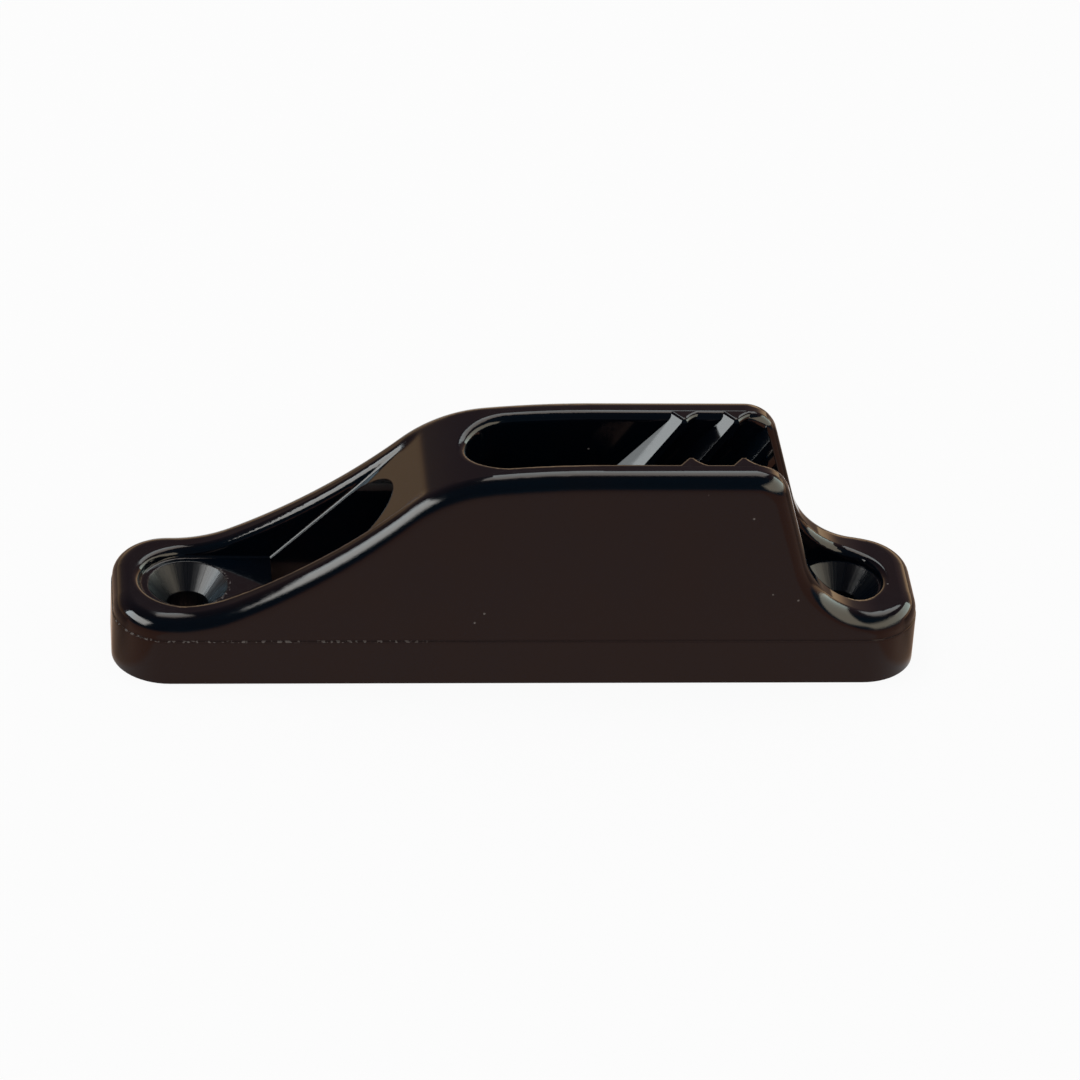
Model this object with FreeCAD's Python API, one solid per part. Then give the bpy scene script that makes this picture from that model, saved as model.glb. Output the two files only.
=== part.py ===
"""Jam cleat with a fairlead: one injection-moulded nylon body, held down by two countersunk screws.

The frame stands at the middle of the base: +X points to the rope's free end, +Z up, and the body is
the same on both sides of the XZ plane. The loaded rope comes in from -X over the left screw, passes
the fairlead tunnel under the bridge, and is pulled down between the slanted teeth of the jam groove.
All sizes are in millimetres and degrees.
"""
import FreeCAD, Part
import math
import os

from FreeCAD import Vector

# Base and outer skin
length = 82.0
width = 16.8
corner_radius = 5.8
band_height = 5.1          # base to the parting line of the mould
parting_step = 0.08        # the upper mould half sits this much inside the lower one
side_draft = 1.8
edge_radius = 1.7          # outer edge of the top

# Side profile of the top
tail_height = 7.4
crown_height = 24.1
crown_radius = 105.0       # the long last arc that levels the crown
crown_angle = 6.0
toe_radius = 14.0
toe_angle = 24.5
shoulder_radius = 15.0
shoulder_angle = 42.0
toe_before_screw = 1.4     # the approach curve starts this far outside the left screw
end_face_lean = 15.8       # from upright
end_corner_radius = 3.6
heel_radius = 8.5
heel_before_screw = 2.9    # end face and tail meet this far inside the right screw

# Screws
screw_from_end = 7.7
screw_hole_radius = 2.1
countersink_radius = 4.1
countersink_angle = 82.0

# Recess over the left screw, with the ramp up to the bridge
recess_floor = 6.5
recess_half_width = 4.85
recess_corner_radius = 1.5  # at the bridge
recess_draft = 0.5
lip_radius = 0.85          # inner edge of the top
recess_inner_radius = 0.3  # round the recess's floor and up the sides of the ramp
ramp_angle = 45.0
ramp_top_rise = 1.5        # above the foot of the shoulder

# Fairlead tunnel, open to the deck
tunnel_height = 18.3
tunnel_half_width = 4.55   # narrower than the recess, so the ramp keeps a ledge on each side of it
tunnel_past_foot = 1.0     # beyond the foot of the first tooth

# Jam groove, with the recess over the right screw
groove_half_width = 4.25
groove_before_shoulder_top = 1.95
groove_floor = 9.0
jaw_setback = 0.9          # from the end face to the ends of the toothed jaws

# Teeth: in plan each has a steep straight front, a narrow tip and a hollow back
tooth_pitch = 5.3
tooth_height = 1.8
tooth_front = 1.3          # from the valley to the tip, along the groove
tooth_tip_width = 0.9
tooth_back_radius = 3.1
tooth_slant = 51.5         # of the ridges, from the deck
tooth_root = 0.6           # from the valley into the wall behind it
tooth_edge_radius = 0.5    # upper edge
tip_half_gap = 3.4         # between the tips, at the crown
jaw_angle = 11.0           # each jaw leans inwards by this angle towards the groove's floor
first_tip_before_corner = 9.2

# Recess that thins the base under the jaws
core_depth = 5.6
core_half_width = 4.5
core_corner_radius = 1.5
core_draft = 1.5
core_web = 3.0

above = 2.0                # how far cutting bodies stand out of the part
tiny = 0.01


def tangent(degrees):
    return math.tan(math.radians(degrees))


def rounded(x0, x1, half, left_radius, right_radius, z):
    """A level wire from x0 to x1 and from -half to half. A radius as large as half rounds a whole end."""
    corners = [(x1, half, -1, -1, right_radius), (x0, half, 1, -1, left_radius),
               (x0, -half, 1, 1, left_radius), (x1, -half, -1, 1, right_radius)]
    arcs = []
    for number, (x, y, sx, sy, radius) in enumerate(corners):
        k = radius * (1 - math.sqrt(0.5))
        on_end = Vector(x, y + sy * radius, z)
        on_side = Vector(x + sx * radius, y, z)
        middle = Vector(x + sx * k, y + sy * k, z)
        if number % 2 == 0:
            arcs.append((on_end, middle, on_side))
        else:
            arcs.append((on_side, middle, on_end))
    edges = []
    for number, (start, middle, end) in enumerate(arcs):
        edges.append(Part.Arc(start, middle, end).toShape())
        following = arcs[(number + 1) % 4][0]
        if end.distanceToPoint(following) > tiny:
            edges.append(Part.LineSegment(end, following).toShape())
    return Part.Wire(edges)


def prism(points, across):
    """A body with this outline in the XZ plane, that reaches across to both sides of it."""
    corners = [Vector(x, -across, z) for x, z in points]
    return Part.Face(Part.makePolygon(corners + corners[:1])).extrude(Vector(0, 2 * across, 0))


class Pen:
    """Draws a smooth line in the XZ plane from straight runs and arcs that leave it without a kink."""

    def __init__(self, x, z):
        self.at = Vector(x, 0, z)
        self.heading = 0.0
        self.edges = []

    def run_to(self, x):
        self.run((x - self.at.x) / math.cos(math.radians(self.heading)))

    def run(self, distance):
        a = math.radians(self.heading)
        end = self.at + Vector(math.cos(a), 0, math.sin(a)) * distance
        self.edges.append(Part.LineSegment(self.at, end).toShape())
        self.at = end

    def turn(self, radius, degrees):
        """Turns up for positive degrees and down for negative ones."""
        side = math.copysign(1.0, degrees)
        a = math.radians(self.heading)
        centre = self.at + Vector(-math.sin(a), 0, math.cos(a)) * radius * side
        points = [self.at]
        for share in (0.5, 1.0):
            b = math.radians(self.heading + degrees * share)
            points.append(centre - Vector(-math.sin(b), 0, math.cos(b)) * radius * side)
        self.edges.append(Part.Arc(*points).toShape())
        self.at = points[-1]
        self.heading += degrees


half_length = length / 2
screw_x = half_length - screw_from_end

# The flank between toe and shoulder is one long arc, and takes up what is left of the climb.
toe_climb = toe_radius * (1 - math.cos(math.radians(toe_angle)))
shoulder_climb = shoulder_radius * (
    math.cos(math.radians(crown_angle)) - math.cos(math.radians(shoulder_angle)))
crown_climb = crown_radius * (1 - math.cos(math.radians(crown_angle)))
flank_climb = crown_height - tail_height - toe_climb - shoulder_climb - crown_climb
flank_radius = flank_climb / (
    math.cos(math.radians(toe_angle)) - math.cos(math.radians(shoulder_angle)))

# The end face leans back from its foot on the right tail to its sharp corner with the crown.
heel_x = screw_x - heel_before_screw
end_face_angle = 90 - end_face_lean
corner_x = heel_x - (crown_height - tail_height) * tangent(end_face_lean)


def draw_top():
    """The line of the top from the left end to the right end, and the shoulder's two end points."""
    pen = Pen(-half_length - above, tail_height)
    pen.run_to(-screw_x - toe_before_screw)
    pen.turn(toe_radius, toe_angle)
    pen.turn(flank_radius, shoulder_angle - toe_angle)
    shoulder_foot = pen.at
    pen.turn(shoulder_radius, crown_angle - shoulder_angle)
    shoulder_top = pen.at
    pen.turn(crown_radius, -crown_angle)
    # Distances from the sharp corners to where their arcs begin
    corner_setback = end_corner_radius * tangent(end_face_angle / 2)
    heel_setback = heel_radius * tangent(end_face_angle / 2)
    pen.run_to(corner_x - corner_setback)
    pen.turn(end_corner_radius, -end_face_angle)
    face_length = (crown_height - tail_height) / math.sin(math.radians(end_face_angle))
    pen.run(face_length - corner_setback - heel_setback)
    pen.turn(heel_radius, end_face_angle)
    pen.run_to(half_length + above)
    return pen.edges, shoulder_foot, shoulder_top


top_edges, shoulder_foot, shoulder_top = draw_top()
ceiling = crown_height + above


def outer_body():
    """The whole outside, with its round outer edge and without its recesses."""
    left = Vector(-half_length - above, 0, 0)
    right = Vector(half_length + above, 0, 0)
    ends = [top_edges[-1].Vertexes[-1].Point, top_edges[0].Vertexes[0].Point]
    closing = Part.makePolygon([ends[0], right, left, ends[1]]).Edges
    outline = Part.Wire(top_edges + closing)
    outline.translate(Vector(0, -width, 0))
    under_top = Part.Face(outline).extrude(Vector(0, 2 * width, 0))

    def skin(z):
        inset = parting_step + (z - band_height) * tangent(side_draft)
        return rounded(-half_length + inset, half_length - inset, width / 2 - inset,
                       corner_radius - inset, corner_radius - inset, z)

    upper = Part.makeLoft([skin(band_height), skin(ceiling)], True, True).common(under_top)
    upper = upper.makeFillet(edge_radius, [edge for edge in upper.Edges if on_outer_rim(edge)])
    band_outline = rounded(-half_length, half_length, width / 2, corner_radius, corner_radius, 0)
    band = Part.Face(band_outline).extrude(Vector(0, 0, band_height))
    return band.fuse(upper)


def on_outer_rim(edge):
    box = edge.BoundBox
    across_the_top = box.XLength < tiny and box.YLength > width - 2 * corner_radius + tiny
    return box.ZMin > band_height + tiny and not across_the_top


def slot(x0, x1, half, right_radius):
    """A recess cut from above with a half-round left end. Its walls lean out to let the mould open."""
    spread = (ceiling - recess_floor) * tangent(recess_draft)
    wires = [rounded(x0, x1, half, half, right_radius, recess_floor),
             rounded(x0 - spread, x1 + spread, half + spread, half + spread, right_radius + spread, ceiling)]
    return Part.makeLoft(wires, True, True)


def cut_with_lip(body, cutter):
    """Cuts a slot and rounds its upper edge."""
    body = body.cut(cutter)
    room = cutter.BoundBox
    room.enlarge(tiny)
    lip = [edge for edge in body.Edges
           if room.isInside(edge.BoundBox) and edge.BoundBox.ZMin > recess_floor + tiny
           and on_skin(cutter, edge)]
    return body.makeFillet(lip_radius, lip)


def on_skin(cutter, edge):
    """Whether the edge lies on the top of the part: the slot's own upright edges don't."""
    upright = [other for other in cutter.Edges if other.BoundBox.ZLength > tiny]
    middle = Part.Vertex(edge.valueAt((edge.FirstParameter + edge.LastParameter) / 2))
    return min(other.distToShape(middle)[0] for other in upright) > tiny


# The ramp is a plane at ramp_angle that runs out on the shoulder, ramp_top_rise above its foot.
ramp_top_z = shoulder_foot.z + ramp_top_rise
shoulder_centre_x = shoulder_foot.x + shoulder_radius * math.sin(math.radians(shoulder_angle))
shoulder_centre_z = shoulder_foot.z - shoulder_radius * math.cos(math.radians(shoulder_angle))
ramp_top_x = shoulder_centre_x - math.sqrt(shoulder_radius ** 2 - (ramp_top_z - shoulder_centre_z) ** 2)
ramp_foot_x = ramp_top_x - (ramp_top_z - recess_floor) / tangent(ramp_angle)
groove_x = shoulder_top.x - groove_before_shoulder_top

# The ridges run down towards the tunnel. The last tooth is the one that breaks through the end face.
first_tip_x = corner_x - first_tip_before_corner
groove_depth = crown_height - groove_floor
jaw_end_x = corner_x - jaw_setback / math.cos(math.radians(end_face_lean))
foot_x = first_tip_x - groove_depth / tangent(tooth_slant)
tunnel_end_x = foot_x + tunnel_past_foot


def ramp(outside):
    """What stands under the ramp's plane, up to the bridge."""
    last_x = ramp_top_x + recess_corner_radius + lip_radius
    last_z = ramp_top_z + (last_x - ramp_top_x) * tangent(ramp_angle)
    outline = [(ramp_foot_x, recess_floor - above), (ramp_foot_x, recess_floor),
               (last_x, last_z), (last_x, recess_floor - above)]
    return prism(outline, recess_half_width + lip_radius).common(outside)


def on_recess_corner(edge):
    """Whether the edge goes round the recess's floor, or up the ramp along one of the walls."""
    box = edge.BoundBox
    on_floor = box.ZMax < recess_floor + tiny and box.XMax < ramp_foot_x + tiny and box.XLength > tiny
    up_ramp = abs(box.XMin - ramp_foot_x) < tiny and box.ZLength > tiny
    return box.ZMin > recess_floor - tiny and (on_floor or up_ramp)


def jaw(side, outside):
    """One toothed wall of the groove: side is 1 behind the XZ plane and -1 in front of it.

    The outlines are drawn at the crown and extruded along the ridges, down to the groove's floor. So
    they move to the tunnel, by the slant of the ridges, and inwards, by the angle of the jaw.
    """
    valley = tip_half_gap + tooth_height
    slope = tooth_front / tooth_height
    hollow = math.sqrt(tooth_back_radius ** 2 - (tooth_back_radius - tooth_height) ** 2)
    slide = Vector(-groove_depth / tangent(tooth_slant), -side * groove_depth * tangent(jaw_angle),
                   -groove_depth)

    def at(x, y):
        return Vector(x, side * y, crown_height)

    def front_at(tip, y):
        return at(tip - slope * (y - tip_half_gap), y)

    def wall():
        """What stands behind the valleys, from the front of the first tooth on."""
        far_x = first_tip_x + length
        outline = [front_at(first_tip_x, width), front_at(first_tip_x, valley),
                   at(far_x, valley), at(far_x, width)]
        return Part.Face(Part.makePolygon(outline + outline[:1])).extrude(slide).common(outside)

    def tooth(tip):
        """One tooth, with its root in the wall. Its upper edge is rounded if the jaw doesn't end on it."""
        centre_x = tip + tooth_tip_width + hollow
        centre_y = valley - tooth_back_radius
        low = math.atan2(tip_half_gap - centre_y, -hollow)
        middle = (low + math.pi / 2) / 2
        root = front_at(tip, valley + tooth_root)
        crest = at(tip, tip_half_gap)
        brink = at(tip + tooth_tip_width, tip_half_gap)
        halfway = at(centre_x + tooth_back_radius * math.cos(middle),
                     centre_y + tooth_back_radius * math.sin(middle))
        bottom = at(centre_x, valley)
        edges = [Part.LineSegment(root, crest).toShape(), Part.LineSegment(crest, brink).toShape(),
                 Part.Arc(brink, halfway, bottom).toShape()]
        edges += Part.makePolygon([bottom, at(centre_x, valley + tooth_root), root]).Edges
        solid = Part.Face(Part.Wire(edges)).extrude(slide).common(outside)
        if brink.x > jaw_end_x:
            return solid
        return solid.makeFillet(tooth_edge_radius, [edge for edge in solid.Edges if on_rim(edge)])

    def on_rim(edge):
        """Whether the edge is on the skin and round the tooth, not at its root or across its top."""
        middle = edge.valueAt((edge.FirstParameter + edge.LastParameter) / 2)
        across = edge.BoundBox.XLength < tiny
        return edge.BoundBox.ZMin > groove_floor + tiny and abs(middle.y) < valley and not across

    teeth = []
    tip = first_tip_x
    while tip < half_length + tooth_pitch:
        teeth.append(tooth(tip))
        tip += tooth_pitch
    return wall().fuse(teeth)


def groove_filling(outside):
    """The two jaws and the groove's floor, as they stand in the open slot."""
    left = foot_x - width
    reach = groove_half_width + lip_radius + tiny
    bottom = recess_floor - above
    foot = (crown_height - bottom) * tangent(end_face_lean)
    room = prism([(left, bottom), (jaw_end_x + foot, bottom), (jaw_end_x, crown_height),
                  (left, crown_height)], reach)
    floor = Part.makeBox(2 * length, 2 * reach, groove_floor - bottom, Vector(foot_x, -reach, bottom))
    filling = floor.fuse([jaw(1, outside), jaw(-1, outside)]).common(room).common(outside)
    access = Part.makeCylinder(groove_half_width, ceiling, Vector(screw_x, 0, bottom))
    return filling.cut(access)


def tunnel():
    """The rope's way under the bridge: round on top, open to the deck, with a round far end."""
    half = tunnel_half_width
    spring = tunnel_height - half
    section = [Vector(ramp_foot_x, half, spring), Vector(ramp_foot_x, half, -above),
               Vector(ramp_foot_x, -half, -above), Vector(ramp_foot_x, -half, spring)]
    vault = Part.Arc(section[3], Vector(ramp_foot_x, 0, tunnel_height), section[0]).toShape()
    outline = Part.Wire(Part.makePolygon(section).Edges + [vault])
    barrel = Part.Face(outline).extrude(Vector(tunnel_end_x - ramp_foot_x, 0, 0))
    plan = rounded(ramp_foot_x - half, tunnel_end_x, half, half, half, -above)
    return barrel.common(Part.Face(plan).extrude(Vector(0, 0, ceiling)))


def base_core():
    """The recess that keeps the base under the jaws from being too thick to mould."""
    x0 = tunnel_end_x + core_web
    x1 = screw_x - groove_half_width - core_web

    def level(z):
        inset = z * tangent(core_draft)
        radius = core_corner_radius - inset
        return rounded(x0 + inset, x1 - inset, core_half_width - inset, radius, radius, z)

    return Part.makeLoft([level(-above), level(core_depth)], True, True)


def screw_hole(x):
    """A hole through the tail, with the countersink that the screw's head sits in."""
    sink = (countersink_radius - screw_hole_radius) / tangent(countersink_angle / 2)
    hole = Part.makeCylinder(screw_hole_radius, recess_floor + 2 * above, Vector(x, 0, -above))
    cone = Part.makeCone(screw_hole_radius, countersink_radius, sink, Vector(x, 0, recess_floor - sink))
    return hole.fuse(cone)


def cleat_body():
    outside = outer_body()
    left_slot = slot(-screw_x - recess_half_width, ramp_top_x + recess_corner_radius,
                     recess_half_width, recess_corner_radius)
    right_slot = slot(groove_x, screw_x + groove_half_width, groove_half_width, groove_half_width)
    body = cut_with_lip(outside, left_slot).fuse(ramp(outside)).removeSplitter()
    body = body.makeFillet(recess_inner_radius, [edge for edge in body.Edges if on_recess_corner(edge)])
    body = cut_with_lip(body, right_slot).fuse(groove_filling(outside))
    body = body.cut(tunnel()).cut(base_core())
    for x in (-screw_x, screw_x):
        body = body.cut(screw_hole(x))
    return body.removeSplitter()


os.makedirs("parts", exist_ok=True)
cleat_body().exportStep("parts/cleat_body.step")
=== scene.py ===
import math
import bpy
import numpy as np
from mathutils import Matrix, Vector

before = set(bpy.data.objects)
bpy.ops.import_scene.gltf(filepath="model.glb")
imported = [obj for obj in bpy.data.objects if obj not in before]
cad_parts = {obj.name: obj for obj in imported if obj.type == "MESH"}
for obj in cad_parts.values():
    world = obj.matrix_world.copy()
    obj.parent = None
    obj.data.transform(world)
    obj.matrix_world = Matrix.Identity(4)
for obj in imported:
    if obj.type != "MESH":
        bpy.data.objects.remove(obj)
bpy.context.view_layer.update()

# Camera
# A long lens looks down at the cleat from the loaded end, turned a little to the left of square on.
# The aim is a point on the cleat's middle plane, and a small shift sets it in the photograph's frame.
view_azimuth = math.radians(6.37)
view_elevation = math.radians(33.5)
view_roll = math.radians(3.51)
view_distance = 0.5973
view_aim = Vector((0, 0, 0.010))

backward = Vector((-math.sin(view_azimuth) * math.cos(view_elevation),
                   -math.cos(view_azimuth) * math.cos(view_elevation),
                   math.sin(view_elevation)))
level_right = Vector((math.cos(view_azimuth), -math.sin(view_azimuth), 0))
level_up = backward.cross(level_right)
rightward = level_right * math.cos(view_roll) + level_up * math.sin(view_roll)
upward = level_up * math.cos(view_roll) - level_right * math.sin(view_roll)

camera_data = bpy.data.cameras.new("camera")
camera_data.lens = 196.1
camera_data.sensor_width = 36
camera_data.shift_x = 0.0215
camera_data.shift_y = 0.0139
camera = bpy.data.objects.new("camera", camera_data)
bpy.context.collection.objects.link(camera)
camera.matrix_world = (Matrix.Translation(view_aim + backward * view_distance)
                       @ Matrix((rightward, upward, backward)).transposed().to_4x4())
bpy.context.scene.camera = camera

# Floor
# A wide table top, painted matt white. The camera sees it as even white, and the cleat's gloss shows
# it in the colours given below. Light meets plain paint, so that a soft shadow stays under the cleat.
white = (1.0, 1.0, 1.0)
table_paint = (0.86, 0.86, 0.86)
floor_half = 3.0
floor_whiteness = 0.93

floor_corners = np.array([[-1, -1, 0], [1, -1, 0], [1, 1, 0], [-1, 1, 0]]) * floor_half
floor_mesh = bpy.data.meshes.new("floor")
floor_mesh.from_pydata(floor_corners.tolist(), [], [[0, 1, 2, 3]])
floor = bpy.data.objects.new("floor", floor_mesh)
bpy.context.collection.objects.link(floor)

white_top = bpy.data.materials.new("white_table_top")
white_top.use_nodes = True
nodes, links = white_top.node_tree.nodes, white_top.node_tree.links
nodes.clear()


def feed(socket, value):
    """Joins a node's output to a socket, or writes a number or a colour into it."""
    if isinstance(value, bpy.types.NodeSocket):
        links.new(value, socket)
    elif isinstance(value, tuple):
        socket.default_value = (*value, 1)
    else:
        socket.default_value = value


def math_of(operation, *values):
    """The result of one sum on values that are numbers or the outputs of nodes."""
    node = nodes.new("ShaderNodeMath")
    node.operation = operation
    for socket, value in zip(node.inputs, values):
        feed(socket, value)
    return node.outputs[0]


def ramp_of(value, start, end, low=0.0, high=1.0, kind="SMOOTHSTEP"):
    """A step that goes from low at start to high at end, softly unless kind is LINEAR."""
    node = nodes.new("ShaderNodeMapRange")
    node.interpolation_type = kind
    feed(node.inputs["Value"], value)
    feed(node.inputs["From Min"], start)
    feed(node.inputs["From Max"], end)
    feed(node.inputs["To Min"], low)
    feed(node.inputs["To Max"], high)
    return node.outputs["Result"]


def axes_of(vector):
    """The x, y and z of a vector."""
    node = nodes.new("ShaderNodeSeparateXYZ")
    feed(node.inputs[0], vector)
    return node.outputs


def colour_between(share, first, second):
    """The first colour where the share is 0, the second where it is 1, and a mix of both between."""
    node = nodes.new("ShaderNodeMix")
    node.data_type = "RGBA"
    feed(node.inputs["Factor"], share)
    feed(node.inputs["A"], first)
    feed(node.inputs["B"], second)
    return node.outputs["Result"]


def colour_along(value, first, *between, last):
    """A colour that follows the value through stops, each of them a position and its colour."""
    node = nodes.new("ShaderNodeValToRGB")
    feed(node.inputs[0], value)
    stops = node.color_ramp.elements
    for stop, (position, colour) in ((stops[0], first), (stops[1], last)):
        stop.position = position
        stop.color = (*colour, 1)
    for position, colour in between:
        stops.new(position).color = (*colour, 1)
    return node.outputs["Color"]


def shader_between(share, first, second):
    """The first shader where the share is 0 and the second where it is 1."""
    node = nodes.new("ShaderNodeMixShader")
    for socket, value in zip(node.inputs, (share, first, second)):
        feed(socket, value)
    return node.outputs[0]


rays = nodes.new("ShaderNodeLightPath").outputs
seen = math_of("MAXIMUM", rays["Is Camera Ray"], rays["Is Glossy Ray"])
seen = math_of("MAXIMUM", seen, rays["Is Transmission Ray"])

# Under the cleat, where the tunnel and the screw holes reach the table, it is plain paint in the dark.
covered_half_length = 0.0358
covered_half_width = 0.007
x, y, z = axes_of(nodes.new("ShaderNodeTexCoord").outputs["Object"])
lengthwise = math_of("ABSOLUTE", x)
uncovered = math_of("MAXIMUM", math_of("GREATER_THAN", lengthwise, covered_half_length),
                    math_of("GREATER_THAN", math_of("ABSOLUTE", y), covered_half_width))
glow_share = math_of("MULTIPLY", seen, math_of("MULTIPLY", uncovered, floor_whiteness))

# In reflections the table darkens towards its front edge, from a touch of warm white behind the cleat.
depth = ramp_of(y, -0.45, 0.15, kind="LINEAR")
mirrored = colour_along(depth,
                        (0.0, (0.18, 0.19, 0.21)),
                        (0.25, (0.42, 0.42, 0.42)),
                        (0.52, (0.80, 0.80, 0.80)),
                        (0.66, (0.96, 0.96, 0.96)),
                        (0.735, white),
                        last=(1.0, (1.0, 0.94, 0.88)))

# Beside the two ends it is a pale tan in reflections, and a warm brown where the ends' own shade lies.
pale_tan = (0.95, 0.68, 0.51)
shade_brown = (0.38, 0.24, 0.16)
past_end = ramp_of(lengthwise, 0.0400, 0.0418)
behind_front = ramp_of(y, -0.0085, -0.003)
tanned = colour_between(past_end, mirrored, pale_tan)
warmed = colour_between(math_of("MULTIPLY", past_end, behind_front), tanned, shade_brown)

paint = nodes.new("ShaderNodeBsdfDiffuse")
feed(paint.inputs["Color"], table_paint)
glow = nodes.new("ShaderNodeEmission")
feed(glow.inputs["Strength"], 1.0)
feed(glow.inputs["Color"], colour_between(rays["Is Glossy Ray"], white, warmed))
surface = nodes.new("ShaderNodeOutputMaterial")
feed(surface.inputs["Surface"], shader_between(glow_share, paint.outputs[0], glow.outputs[0]))
floor_mesh.materials.append(white_top)

# Light
# A photographer's tent of cloth, pale and warm low down behind the cleat and a dark blue in front of
# it. Two bright panels stand on the left and overhead at the back, and a long, weaker one on the right.
scene = bpy.context.scene
scene.view_settings.view_transform = "Standard"

world = bpy.data.worlds.new("tent")
scene.world = world
world.use_nodes = True
nodes, links = world.node_tree.nodes, world.node_tree.links
nodes.clear()

# The cloth's own colour goes by height: a stop's position is the sine of the angle above the table.
x, y, z = axes_of(nodes.new("ShaderNodeTexCoord").outputs["Generated"])
front_blue = (0.05, 0.13, 0.24)
walls = colour_along(z,
                     (0.02, (0.86, 0.64, 0.39)),
                     (0.14, (0.78, 0.54, 0.32)),
                     (0.32, (0.32, 0.24, 0.20)),
                     (0.50, (0.27, 0.19, 0.19)),
                     last=(0.9, (0.10, 0.09, 0.10)))
tent_colour = colour_between(ramp_of(y, -0.35, 0.25), front_blue, walls)

# The right-hand wall is brighter, and so is the strip just above the table, from behind to the right.
right_wall_level = ramp_of(x, -0.1, 0.5, 1.0, 1.6)
low_strip = ramp_of(z, 0.35, 0.15)
strip_level = ramp_of(x, -0.5, 0.0, 0.0, 0.8)
wall_level = math_of("MULTIPLY_ADD", low_strip, strip_level, right_wall_level)


def background_of(colour, strength):
    """The world's light in one colour, or in one that changes with the direction."""
    node = nodes.new("ShaderNodeBackground")
    feed(node.inputs["Color"], colour)
    feed(node.inputs["Strength"], strength)
    return node.outputs[0]


# Gloss shows the tent, paint is lit evenly from all round, and the camera sees white.
even_level = 0.45
rays = nodes.new("ShaderNodeLightPath").outputs
around = shader_between(rays["Is Glossy Ray"], background_of(white, even_level),
                        background_of(tent_colour, wall_level))
surface = nodes.new("ShaderNodeOutputWorld")
feed(surface.inputs["Surface"], shader_between(rays["Is Camera Ray"], around, background_of(white, 1.0)))


def panel(name, place, size, radiance, colour=white):
    """A rectangular soft lamp that faces the cleat. Its radiance is its own brightness, where 1 is white."""
    data = bpy.data.lights.new(name, "AREA")
    data.shape = "RECTANGLE"
    data.size, data.size_y = size
    data.energy = radiance * math.pi * size[0] * size[1]
    data.color = colour
    lamp = bpy.data.objects.new(name, data)
    bpy.context.collection.objects.link(lamp)
    toward_cleat = view_aim - Vector(place)
    lamp.matrix_world = (Matrix.Translation(place)
                         @ toward_cleat.to_track_quat("-Z", "Y").to_matrix().to_4x4())
    return lamp


# The panels only shine back from the gloss. What lights the colours is the lamp above.
left_panel = panel("left_panel", (-0.58, -0.12, 0.39), (0.62, 0.36), 20.0, (0.58, 1.0, 1.26))
back_panel = panel("back_panel", (0.13, 0.33, 0.60), (0.46, 0.45), 6.0, (0.70, 1.0, 1.12))
right_panel = panel("right_panel", (0.60, -0.16, 0.34), (1.60, 0.43), 7.4, (0.65, 1.0, 1.0))
for lamp in (left_panel, back_panel, right_panel):
    lamp.visible_diffuse = False
    lamp.visible_camera = False
above_lamp = panel("above_lamp", (-0.15, 0.10, 0.75), (0.5, 0.5), 2.6)
above_lamp.visible_glossy = False

# Cleat body
# One injection moulding in black-brown nylon, glossy from a polished mould. The mould closed 5.1 mm
# above the deck, and left specks of flash along that line.
nylon = bpy.data.materials.new("black_brown_nylon")
nylon.use_nodes = True
nodes, links = nylon.node_tree.nodes, nylon.node_tree.links
nodes.clear()


def noise_of(vector, scale, detail=2.0):
    """A cloudy value about 0.5, with grains about 1/scale metres wide."""
    node = nodes.new("ShaderNodeTexNoise")
    feed(node.inputs["Scale"], scale)
    feed(node.inputs["Detail"], detail)
    feed(node.inputs["Vector"], vector)
    return node.outputs["Fac"]


# Places on the cleat, in metres from the middle of its base.
place = nodes.new("ShaderNodeTexCoord").outputs["Object"]
x, y, z = axes_of(place)
lengthwise = math_of("ABSOLUTE", x)
crosswise = math_of("ABSOLUTE", y)

# Round each screw, a place is counted from the screw's own axis.
screw_x = 0.0333
from_screw = nodes.new("ShaderNodeCombineXYZ")
feed(from_screw.inputs["X"], math_of("SUBTRACT", lengthwise, screw_x))
feed(from_screw.inputs["Y"], y)
distance = nodes.new("ShaderNodeVectorMath")
distance.operation = "LENGTH"
feed(distance.inputs[0], from_screw.outputs[0])
screw_distance = distance.outputs["Value"]
direction = nodes.new("ShaderNodeVectorMath")
direction.operation = "NORMALIZE"
feed(direction.inputs[0], from_screw.outputs[0])

# The countersinks came from a turned pin: fine scratches run down the cone, which is less bright for them.
cone = math_of("MULTIPLY", ramp_of(screw_distance, 0.00425, 0.00405), ramp_of(z, 0.0066, 0.0064))
scratches = noise_of(direction.outputs[0], 9.0, 3.0)

# Specks of flash: short pale crumbs along the left part of the parting line, on the outside only.
parting_height = 0.0051
crumbs = noise_of(place, 2600.0, 1.0)
line_offset = math_of("ABSOLUTE", math_of("SUBTRACT", z, parting_height))
outside = math_of("MAXIMUM", ramp_of(crosswise, 0.0053, 0.0057), ramp_of(lengthwise, 0.0383, 0.0387))
on_line = math_of("MULTIPLY", outside, ramp_of(line_offset, 0.00014, 0.00005))
left_part = ramp_of(x, -0.007, -0.013)
line_crumbs = math_of("MULTIPLY", on_line, math_of("MULTIPLY", left_part, ramp_of(crumbs, 0.54, 0.60)))

# A few fainter ones hang on the left countersink's edge, on the side towards the bridge.
countersink_edge = 0.0042
edge_crumb_level = 0.45
edge_offset = math_of("ABSOLUTE", math_of("SUBTRACT", screw_distance, countersink_edge))
on_edge = math_of("MULTIPLY", ramp_of(edge_offset, 0.00022, 0.00010), ramp_of(x, -0.0325, -0.0305))
on_edge = math_of("MULTIPLY", on_edge, ramp_of(x, 0.0, -0.001))
edge_crumbs = math_of("MULTIPLY", on_edge, ramp_of(crumbs, 0.55, 0.62, 0.0, edge_crumb_level))

# Dust: single specks about 0.2 mm wide, some 4 mm apart in depth, so that few of them meet the surface.
dust = nodes.new("ShaderNodeTexVoronoi")
feed(dust.inputs["Scale"], 230.0)
feed(dust.inputs["Vector"], place)
dusty = ramp_of(dust.outputs["Distance"], 0.035, 0.018)

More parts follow.
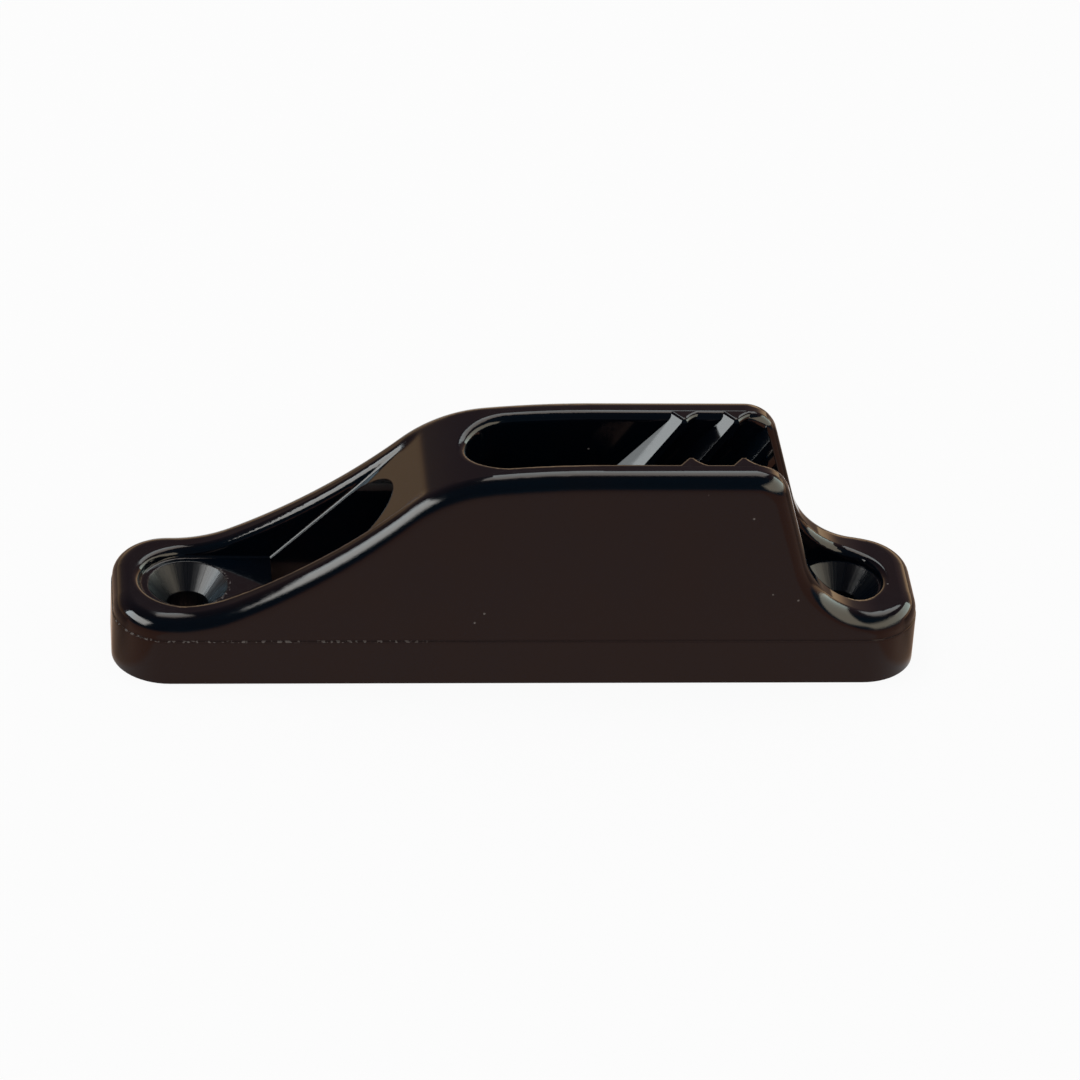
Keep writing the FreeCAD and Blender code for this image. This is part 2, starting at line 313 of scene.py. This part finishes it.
pale = math_of("MAXIMUM", math_of("MAXIMUM", line_crumbs, edge_crumbs), dusty)

# The nylon is nearly black and a little blue in itself. Its brown comes from the gloss. The narrow ledge
# of the parting line is painted a duller brown: a painted reflection, the brown that the side shows by
# its gloss, so that the ledge does not show as a dark line.
nylon_black = (0.0008, 0.0030, 0.0060)
nylon_warm_black = (0.0018, 0.0028, 0.0050)
ledge_reflection_brown = (0.028, 0.018, 0.016)
speck_grey = (0.16, 0.14, 0.13)
cloud = ramp_of(noise_of(place, 110.0, 3.0), 0.35, 0.65)
on_reflection_ledge = math_of("MULTIPLY", outside, ramp_of(line_offset, 0.00007, 0.00003))
colour = colour_between(cloud, nylon_black, nylon_warm_black)
# Painted reflection: the parting ledge is painted in the side's glossy brown.
colour = colour_between(on_reflection_ledge, colour, ledge_reflection_brown)
colour = colour_between(pale, colour, speck_grey)

# The mould's polish varies a little. The scratched cones and the specks are duller.
speck_roughness = 0.6
roughness = nodes.new("ShaderNodeMix")
feed(roughness.inputs["Factor"], cone)
feed(roughness.inputs["A"], ramp_of(noise_of(place, 900.0, 3.0), 0.3, 0.7, 0.065, 0.105))
feed(roughness.inputs["B"], ramp_of(scratches, 0.3, 0.7, 0.25, 0.35))
dulled = math_of("MAXIMUM", roughness.outputs["Result"], math_of("MULTIPLY", pale, speck_roughness))

# Moulded edges are a little round. The top of the ramp, which runs out into the shoulder, is rounder,
# the flank's long round runs out softly, and the step at the parting line is so low that it hardly
# shows. The teeth keep their own sharp edges.
edge_radius = 0.00015
ramp_top_radius = 0.0012
parting_radius = 0.0006
flank_radius = 0.0011
ramp_top = math_of("MULTIPLY", ramp_of(x, -0.0125, -0.0115), ramp_of(x, -0.0065, -0.0075))
ramp_top = math_of("MULTIPLY", ramp_top, ramp_of(z, 0.017, 0.018))
on_flank = math_of("MULTIPLY", ramp_of(crosswise, 0.0064, 0.0070), ramp_of(z, 0.0056, 0.0062))
radius = math_of("MAXIMUM", math_of("MULTIPLY", ramp_top, ramp_top_radius),
                 ramp_of(line_offset, 0.0004, 0.0003, 0.0, parting_radius))
radius = math_of("MAXIMUM", math_of("MULTIPLY", on_flank, flank_radius), radius)
radius = math_of("MAXIMUM", ramp_of(x, 0.0075, 0.0070, 0.0, edge_radius), radius)
rounding = nodes.new("ShaderNodeBevel")
rounding.samples = 12
feed(rounding.inputs["Radius"], radius)

# The gloss is faintly wavy, and the scratches are cut into the cones.
peel = nodes.new("ShaderNodeBump")
feed(peel.inputs["Strength"], 0.12)
feed(peel.inputs["Distance"], 0.00001)
feed(peel.inputs["Height"], noise_of(place, 1300.0, 2.0))
feed(peel.inputs["Normal"], rounding.outputs[0])
scratched = nodes.new("ShaderNodeBump")
feed(scratched.inputs["Distance"], 0.00003)
feed(scratched.inputs["Height"], math_of("MULTIPLY", scratches, cone))
feed(scratched.inputs["Normal"], peel.outputs[0])

skin = nodes.new("ShaderNodeBsdfPrincipled")
feed(skin.inputs["Specular IOR Level"], 0.255)
feed(skin.inputs["Specular Tint"], (1.0, 0.56, 0.42))
feed(skin.inputs["Base Color"], colour)
feed(skin.inputs["Roughness"], dulled)
feed(skin.inputs["Normal"], scratched.outputs[0])
surface = nodes.new("ShaderNodeOutputMaterial")
feed(surface.inputs["Surface"], skin.outputs[0])

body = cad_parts["cleat_body"]
for slot in body.material_slots:
    slot.material = nylon
